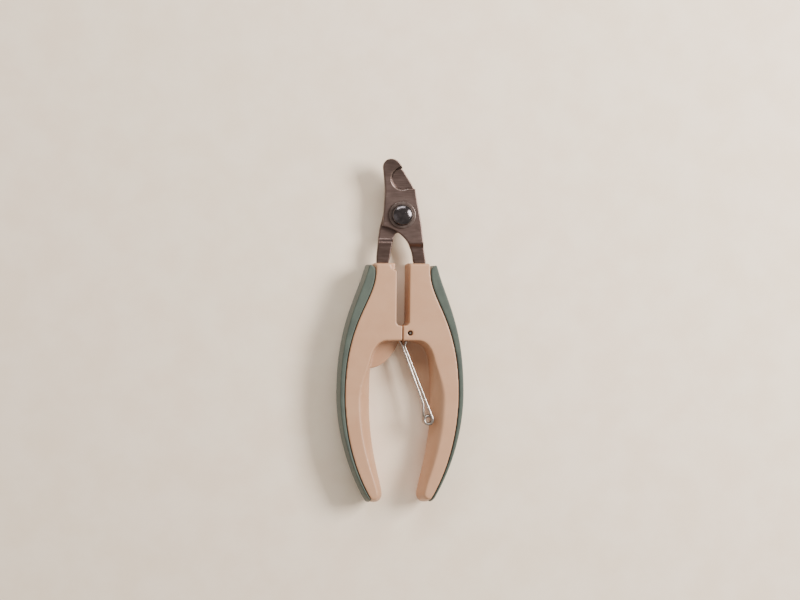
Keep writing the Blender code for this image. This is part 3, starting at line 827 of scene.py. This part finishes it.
leftAnchor = (Vector(joints["spring_left_swing"]["pos_m"]) - pivotPoint) / mm
rightAnchor = (Vector(joints["spring_right_swing"]["pos_m"]) - pivotPoint) / mm
leftLegHeight = middle + springForm["leftRise"]
rightLegHeight = middle + springForm["rightRise"]


def legSide(down):  # right side of the right leg, with room beside it, this far below the arch
    form = springForm
    bendX, bendDown = form["rightBend"]
    share = (down - bendDown) / (form["coilDown"] - bendDown)
    return bendX + share * (coilX + form["coilRadius"] - bendX) + form["wire"] + form["webRoom"]


def springBay(side):
    form = springForm
    gap = 2 * seam
    low = leftLegHeight - form["wire"] - gap
    high = rightLegHeight + form["wire"] + gap
    top = rightAnchor.y + form["wire"] + 3 * gap
    left, right = sorted((-side * far, side * form["bay"]))
    hole = form["wire"] + form["holeSpare"]
    anchor = rightAnchor if side > 0 else leftAnchor
    ends = (middle, far) if side > 0 else (-far, middle)
    bottom = -handleForm["arch"] - far
    return [
        ("DIFFERENCE", block("bay", (left, bottom, low), (right, top, high))),
        ("DIFFERENCE", drill("legHole", anchor, *ends, hole, 32)),
    ]


def coilStart(bend):  # the angle where the straight right leg meets the coil
    reach = Vector((coilX, coilY)) - Vector(bend)
    lean = math.asin(springForm["coilRadius"] / reach.length)
    return math.atan2(reach.y, reach.x) + lean + math.pi / 2


def setInputs(item, tree, values):  # by identifier, before the item is first evaluated
    change = item.modifiers.new(tree.name, "NODES")
    change.node_group = tree
    for socket in tree.interface.items_tree:
        if socket.in_out == "INPUT" and socket.name in values:
            change[socket.identifier] = values[socket.name]


def newTree(name, sizes, counts=()):  # its named inputs are the sizes, the counts and the material
    tree = bpy.data.node_groups.new(name, "GeometryNodeTree")
    kinds = {"Geometry": "Geometry", **dict.fromkeys(sizes, "Float"), **dict.fromkeys(counts, "Int")}
    kinds["Material"] = "Material"
    for key, kind in kinds.items():
        tree.interface.new_socket(name=key, in_out="INPUT", socket_type="NodeSocket" + kind)
    tree.interface.new_socket(name="Geometry", in_out="OUTPUT", socket_type="NodeSocketGeometry")
    group = tree.nodes.new("NodeGroupInput")
    given = {socket.name: Flow(tree, socket) for socket in group.outputs if socket.name}
    return tree, given


def endTree(tree, shape, material):  # every tree ends in plain geometry with its material
    real = shape.node("GeometryNodeRealizeInstances", None, {"Geometry": shape})
    done = shape.node("GeometryNodeSetMaterial", None, {"Geometry": real, "Material": material})
    output = tree.nodes.new("NodeGroupOutput")
    tree.links.new(done.socket, output.inputs[0])
    return tree


def stored(shape, name, value):  # a number kept on each point under this name
    settings = {"data_type": "FLOAT", "domain": "POINT"}
    inputs = {"Geometry": shape, "Name": name, "Value": value}
    return shape.node("GeometryNodeStoreNamedAttribute", settings, inputs)


def coiledWireTree():  # a bent leg, then half of the coil, swept as one round wire
    form = springForm
    afterLeg = 1000.0  # more points than the leg has, so that the coil follows it
    tiny = 0.00001  # keeps the first point's share from being a division by zero
    sizes = ["Wire Radius", "Bend Radius", "Centre X", "Centre Y", "Coil Radius"]
    sizes += ["Start Angle", "Turns", "Start Height", "Pitch"]
    tree, given = newTree("coiledWire", sizes, ["Coil Points", "Sides"])
    root = given["Geometry"]
    rounded = {"Curve": root, "Radius": given["Bend Radius"], "Count": form["bendSteps"]}
    rounded["Limit Radius"] = True
    bent = root.node("GeometryNodeFilletCurve", {"mode": "POLY"}, rounded)
    leg = root.node("GeometryNodeCurveToPoints", {"mode": "EVALUATED"}, {"Curve": bent})
    index = root.node("GeometryNodeInputIndex")
    share = (index + 1.0) / given["Coil Points"]
    angle = given["Start Angle"] + share * given["Turns"] * turn
    coilPlace = root.node(
        "ShaderNodeCombineXYZ",
        None,
        {
            "X": given["Centre X"] + given["Coil Radius"] * angle.math("COSINE"),
            "Y": given["Centre Y"] + given["Coil Radius"] * angle.math("SINE"),
            "Z": given["Start Height"] + given["Pitch"] * given["Turns"] * share,
        },
    )
    laid = {"Count": given["Coil Points"], "Position": coilPlace}
    coil = root.node("GeometryNodePoints", None, laid)
    joined = tree.nodes.new("GeometryNodeJoinGeometry")
    for part in (stored(leg, "order", index), stored(coil, "order", index + afterLeg)):
        tree.links.new(part.socket, joined.inputs[0])
    order = root.node("GeometryNodeInputNamedAttribute", {"data_type": "FLOAT"}, {"Name": "order"})
    threaded = {"Points": Flow(tree, joined.outputs[0]), "Weight": order}
    path = root.node("GeometryNodePointsToCurves", None, threaded)
    along = root.node("GeometryNodeSplineParameter", output="Length")
    factor = root.node("GeometryNodeSplineParameter", output="Factor")
    total = along / (factor + tiny)
    fromEnd = along.math("MINIMUM", total - along)
    slimmed = fromEnd.between(0.0, form["endTaper"], form["endShare"], 1.0)
    sized = root.node("GeometryNodeSetCurveRadius", None, {"Curve": path, "Radius": slimmed})
    ring = root.node(
        "GeometryNodeCurvePrimitiveCircle",
        {"mode": "RADIUS"},
        {"Resolution": given["Sides"], "Radius": given["Wire Radius"]},
    )
    sweep = {
        "Curve": stored(sized, "alongWire", along),
        "Profile Curve": stored(ring, "roundWire", (factor * 2.0 - 1.0).size()),
        "Scale": root.node("GeometryNodeInputRadius"),
        "Fill Caps": True,
    }
    return endTree(tree, root.node("GeometryNodeCurveToMesh", None, sweep), given["Material"])


def makeSpringLeg(tree, word, side):
    form = springForm
    anchor = rightAnchor if side > 0 else leftAnchor
    legHeight = rightLegHeight if side > 0 else leftLegHeight
    bendX, bendDown = form["rightBend"] if side > 0 else form["leftBend"]
    bend = (bendX, -handleForm["arch"] - bendDown)
    pitch = 2 * form["wire"] + form["turnGap"]
    start = coilStart(bend) if side > 0 else math.pi
    turns = -side * (form["turnsEach"] - form["split"] / 2 / 360)
    bottom = middle + form["rise"]
    startHeight = bottom if side < 0 else bottom + 2 * form["turnsEach"] * pitch + 2 * seam
    tip = thick - 2 * seam if side > 0 else form["footHeight"]
    reach = form["coilRadius"]
    firstCoil = (coilX + reach * math.cos(start), coilY + reach * math.sin(start))
    knee = (coilX - reach, coilY + form["knee"][0], middle + form["knee"][1])
    corners = [
        (anchor.x, anchor.y, tip),
        (anchor.x, anchor.y, legHeight),
        (*bend, legHeight + form["bendLift"]),
        *([knee] if side < 0 else []),
        (*firstCoil, startHeight),
    ]
    data = bpy.data.curves.new(word + "Leg", "CURVE")
    data.dimensions = "3D"
    spline = data.splines.new("POLY")
    spline.points.add(len(corners) - 1)
    for point, corner in zip(spline.points, corners):
        point.co = (*corner, 1.0)
    item = newItem(word + "SpringLeg", data)
    values = {
        "Wire Radius": form["wire"],
        "Bend Radius": form["bendRadius"],
        "Centre X": coilX,
        "Centre Y": coilY,
        "Coil Radius": form["coilRadius"],
        "Start Angle": start,
        "Turns": turns,
        "Start Height": startHeight,
        "Pitch": pitch,
        "Coil Points": round(form["stepsPerTurn"] * abs(turns)),
        "Sides": form["sides"],
        "Material": wireMetal,
    }
    setInputs(item, tree, values)
    leg = settled(item)
    leg.name = word + "SpringLeg"
    placed(leg, wireMetal, f"spring_{word}_leg", "spring_" + word)


# Blades


def formingTree():  # presses a flat blade: dished towards the tip, stepped towards the shank
    sizes = ["Dish Start", "Dish Radius", "Step Place", "Step Length", "Step Rise"]
    tree, given = newTree("bladeForming", sizes)
    root = given["Geometry"]
    x, y, _ = root.node("GeometryNodeInputPosition").axes()
    beyond = (awayFrom(x, y) - given["Dish Start"]).math("MAXIMUM", 0.0) * (y > 0.0)
    dished = beyond * beyond / (given["Dish Radius"] * 2.0)
    halfStep = given["Step Length"] / 2.0
    below = (y * -1.0) - given["Step Place"]
    stepped = below.between(halfStep * -1.0, halfStep) * given["Step Rise"]
    lift = root.node("ShaderNodeCombineXYZ", None, {"Z": dished + stepped})
    pressed = root.node("GeometryNodeSetPosition", None, {"Geometry": root, "Offset": lift})
    return endTree(tree, pressed, given["Material"])


frontBladeForm = {"low": seam, "step": 10.4, "notch": (0.1, 12.9)}  # low is from mid thickness
rearBladeForm = {"low": -seam - bladeForm["thick"], "step": 8.9, "notch": (-7.3, 11.9)}


def frontBladeEdge():  # right shank, tip leaning left
    shoulder, top = bladeForm["shoulder"], -handleForm["blockTop"]
    return [
        (-7.1, toTip - 3.0, None, (-0.1, 1.7)),
        (-4.5, toTip, (-1.5, 0), (1.4, 0)),
        (-1.7, toTip - 0.9, (-0.9, 0.55), None),
        (0.8, toTip - 3.9, None, None),
        (4.55, shoulder + 0.35, None, (0.5, -3.6)),
        (6.9, -3.2, (-0.7, 4.0), (0.5, -4.5)),
        (tangOuter, top + 0.8, (-0.7, 3.9), None),
        (tangOuter, top, None, None),
        *tangEdge(0.0)[1:5],
        (tangInner, top, None, None),
        (tangInner - 0.3, top + 0.8, None, (-0.4, 7.0)),
        (-6.8, -4.0, (5.6, -0.9), None),
        (-6.1, 7.0, (-0.15, -3.2), (0.15, 3.2)),
    ]


def rearBladeEdge():  # left shank, and the spine that shows to the right of the front blade
    shoulder, top = bladeForm["shoulder"], -handleForm["blockTop"]
    shank = onSide(-1, tangEdge(0.0)[1:5])
    return [
        (-6.2, toTip - 3.2, None, (0.1, 1.2)),
        (-4.4, toTip - 0.5, (-1.1, 0), (1.2, 0)),
        (-1.9, toTip - 1.4, (-0.8, 0.5), None),
        (0.7, toTip - 4.1, None, (1.0, -1.7)),
        (4.4, shoulder + 0.3, (-1.0, 1.9), (0.5, -3.4)),
        (5.6, -3.4, (0.6, 3.2), (-1.4, -1.4)),
        (-1.9, -6.3, (2.6, 0.4), (-0.9, -1.7)),
        (-tangInner + 0.5, top + 1.8, (0.5, 4.4), None),
        (-tangInner, top, None, None),
        *[(x, y, leaving, arriving) for x, y, arriving, leaving in reversed(shank)],
        (-tangOuter, top, None, None),
        (-tangOuter, top + 2.0, None, (0.2, 3.0)),
        (-7.5, -4.6, (-0.4, -3.0), (0.4, 1.8)),
        (-5.7, 4.0, (-0.2, -3.0), None),
    ]


def makeBlade(tree, word, side, edge, own, material):
    form = bladeForm
    low = middle + own["low"]
    high = low + form["thick"]
    run = 2.0  # the cutter stands this far out of both faces
    narrow, wide = form["notchEdge"], form["notchFace"]
    slope = (wide - narrow) / form["thick"] * side
    lowRadius = (narrow if side > 0 else wide) - slope * run
    highRadius = (wide if side > 0 else narrow) + slope * run
    cuts = [
        ("DIFFERENCE", drill("bore", (0, 0), -far, far, form["boreRadius"])),
        ("DIFFERENCE", drill("hole", tangHoleCentre(side), -far, far, form["holeRadius"])),
        ("DIFFERENCE", taper("bite", own["notch"], low - run, high + run, lowRadius, highRadius, 120)),
    ]
    if side > 0:
        corner = (own["notch"][0], form["shoulder"], -far)
        opposite = (far, own["notch"][1] + form["pastNotch"], far)
        cuts.append(("DIFFERENCE", block("shoulder", corner, opposite)))
    blade = carved(word + "Blade", plate(word + "Flat", edge, low, high, 24), cuts)
    softened(blade, form["skin"], form["relax"])
    values = {
        "Dish Start": form["dishStart"],
        "Dish Radius": form["dishRadius"],
        "Step Place": own["step"],
        "Step Length": form["stepLength"],
        "Step Rise": -form["thick"] / 2 - own["low"],
        "Material": material,
    }
    setInputs(blade, tree, values)
    settled(blade)
    placed(blade, material, word + "_blade", ("right" if side > 0 else "left") + "_half")


# Pivot

pivotForm = {
    "shaft": 2.0,
    "head": 3.7,
    "headHeight": 2.0,
    "brim": 0.5,
    "brimRound": 0.2,
    "footRound": 0.12,
    "domeAngle": 84,  # degrees
    "domeSteps": 14,
    "tail": 3.2,
    "tailHeight": 1.2,
    "tailRound": 0.4,
    "tailShoulder": 0.45,
    "tailChamfer": [(2.2, 0.12), (2.0, 0)],  # radius, and above the tail's end
    "dimple": [(1.5, 0), (1.1, 0.12), (0.6, 0.3), (0, 0.36)],
    "washer": 4.7,
    "washerThick": 0.5,
    "washerPlay": 0.2,
    "washerTopRound": 0.15,
    "washerLowRound": 0.08,
    "washerChamfer": 0.1,
    "turnSteps": 96,
    "sharpAngle": 50,  # degrees
}


def makeTurned(name, profile, material, node):  # profile is radius and height, down the outside
    mesh = bpy.data.meshes.new(name)
    points = [(radius, 0, height) for radius, height in profile]
    mesh.from_pydata(points, [(i, i + 1) for i in range(len(points) - 1)], [])
    item = newItem(name, mesh)
    screw = item.modifiers.new("turned", "SCREW")
    screw.steps = pivotForm["turnSteps"]
    screw.render_steps = pivotForm["turnSteps"]
    screw.use_merge_vertices = True
    screw.merge_threshold = 0.0001
    settled(item)
    placed(item, material, node, "left_half")
    item.data.set_sharp_from_angle(angle=math.radians(pivotForm["sharpAngle"]))


def arcPoints(centre, radius, first, last, steps):  # angles in degrees, measured from straight up
    points = []
    for k in range(steps + 1):
        angle = math.radians(first + (last - first) * k / steps)
        points.append((centre[0] + radius * math.sin(angle), centre[1] + radius * math.cos(angle)))
    return points


# rounds an outer corner that is at this radius and height, the lower one where below is true
def cornerArc(radius, height, rounding, first, last, steps, below=False):
    centre = (radius - rounding, height + rounding if below else height - rounding)
    return arcPoints(centre, rounding, first, last, steps)


def rivetProfile(headLow, tailHigh):
    form = pivotForm
    dome = []
    for k in range(form["domeSteps"] + 1):
        angle = math.radians(form["domeAngle"] * k / form["domeSteps"])
        lift = form["brim"] + (form["headHeight"] - form["brim"]) * math.cos(angle)
        dome.append((form["head"] * math.sin(angle), headLow + lift))
    brimHeight = headLow + form["brim"] - 0.1
    brim = arcPoints((form["head"] - form["brimRound"], brimHeight), form["brimRound"], 40, 90, 4)
    foot = cornerArc(form["head"], headLow, form["footRound"], 90, 180, 3, below=True)
    shaft = [(form["shaft"], headLow), (form["shaft"], tailHigh)]
    upsetCentre = (form["tail"] - form["tailRound"], tailHigh - form["tailShoulder"])
    upset = arcPoints(upsetCentre, form["tailRound"], 60, 130, 5)
    low = tailHigh - form["tailHeight"]
    end = [(radius, low + lift) for radius, lift in form["tailChamfer"] + form["dimple"]]
    return dome + brim + foot + shaft + upset + end


def washerProfile(low):
    form = pivotForm
    high = low + form["washerThick"]
    inner, chamfer = form["shaft"] + form["washerPlay"], form["washerChamfer"]
    ring = [(inner, low + chamfer), (inner, high - chamfer), (inner + chamfer, high)]
    ring += cornerArc(form["washer"], high, form["washerTopRound"], 0, 90, 4)
    ring += cornerArc(form["washer"], low, form["washerLowRound"], 90, 180, 3, below=True)
    return [*ring, (inner + chamfer, low), (inner, low + chamfer)]


def makePivot():
    form = pivotForm
    bladeTop = middle + seam + bladeForm["thick"]
    bladeBottom = middle - seam - bladeForm["thick"]
    headLow = bladeTop + 4 * seam + form["washerThick"]
    tailHigh = bladeBottom - 4 * seam - form["washerThick"]
    makeTurned("pivotRivet", rivetProfile(headLow, tailHigh), rivetMetal, "pivot_rivet")
    makeTurned("frontWasher", washerProfile(bladeTop + 2 * seam), washerMetal, "front_washer")
    makeTurned("backWasher", washerProfile(tailHigh + 2 * seam), washerMetal, "back_washer")


# Build

plastic = mouldedPlastic()
rubber = matteRubber()
frontMetal = bladeSteel("frontBladeSteel", frontBladeForm)
rearMetal = bladeSteel("rearBladeSteel", rearBladeForm)
rivetMetal = rivetSteel()
washerMetal = washerSteel()
wireMetal = springSteel()
print("materials ready")

for side in (-1, 1):
    makeHandle(side)
print("handles and grips ready")
pressing = formingTree()
makeBlade(pressing, "front", 1, frontBladeEdge(), frontBladeForm, frontMetal)
makeBlade(pressing, "rear", -1, rearBladeEdge(), rearBladeForm, rearMetal)
print("blades ready")
makePivot()
print("pivot ready")
winding = coiledWireTree()
makeSpringLeg(winding, "left", -1)
makeSpringLeg(winding, "right", 1)
print("spring ready")


# Floor, light and camera

studio = {
    "floor": "#fbe9d3",
    "floorShade": "#f6e1c9",
    "floorCloud": 14.0,  # millimetres, the other sizes are in metres
    "floorHalf": 2.0,
    "floorDrop": 0.0001,
    "world": "#f8f1e7",
    "worldStrength": 0.55,
    "floorFixed": {"Roughness": 0.85},
}
lamps = {  # place, size, power, colour
    "keyLamp": ((0.42, 0.15, 0.38), (0.28, 0.2), 6.2, (1.0, 0.97, 0.93)),
    "fillLamp": ((-0.45, -0.1, 0.4), (0.4, 0.5), 0.3, (1, 1, 1)),
    "topLamp": ((-0.05, 0.45, 0.35), (0.5, 0.12), 1.8, (1, 1, 1)),
}
cameraForm = {
    "distance": 0.62,
    "width": 0.2807,  # seen at that distance
    "aim": (-0.0002, 0.0108, middle * mm),
    "lean": -9.0,
    "roll": 0.52,
    "sensor": 36.0,
    "nearest": 0.01,
}


def makeFloor():
    half, drop = studio["floorHalf"], studio["floorDrop"]
    mesh = bpy.data.meshes.new("floor")
    corners = [(x, y, -drop) for x, y in ((-half, -half), (half, -half), (half, half), (-half, half))]
    mesh.from_pydata(corners, [], [(0, 1, 2, 3)])
    floor = newItem("floor", mesh)
    material, shader, place = newMaterial("floorCard", studio["floorFixed"])
    mottle = noise(place, studio["floorCloud"], 4)
    connect(shader, Base_Color=tinted(spread(mottle), studio["floor"], studio["floorShade"]))
    mesh.materials.append(material)


def makeLamp(name, place, size, power, colour):
    data = bpy.data.lights.new(name, "AREA")
    data.shape = "RECTANGLE"
    data.size, data.size_y = size
    data.energy = power
    data.color = colour
    lamp = newItem(name, data)
    lamp.location = place
    aim = Vector((0, 0, middle * mm)) - Vector(place)
    lamp.rotation_euler = aim.to_track_quat("-Z", "Y").to_euler()


def makeStudio():
    world = bpy.data.worlds.new("paleRoom")
    world.use_nodes = True
    sky = world.node_tree.nodes["Background"]
    sky.inputs["Color"].default_value = fromHex(studio["world"])
    sky.inputs["Strength"].default_value = studio["worldStrength"]
    bpy.context.scene.world = world
    for name, lamp in lamps.items():
        makeLamp(name, *lamp)


def makeCamera():
    form = cameraForm
    data = bpy.data.cameras.new("camera")
    data.sensor_width = form["sensor"]
    data.lens = form["sensor"] * form["distance"] / form["width"]
    data.clip_start = form["nearest"]
    camera = newItem("camera", data)
    lean = Matrix.Rotation(math.radians(form["lean"]), 4, "Y")
    roll = Matrix.Rotation(math.radians(form["roll"]), 4, "Z")
    back = Matrix.Translation((0, 0, form["distance"]))
    camera.matrix_world = Matrix.Translation(form["aim"]) @ lean @ roll @ back
    bpy.context.scene.camera = camera


makeFloor()
makeStudio()
makeCamera()
print("studio ready,", len(finished), "pieces")
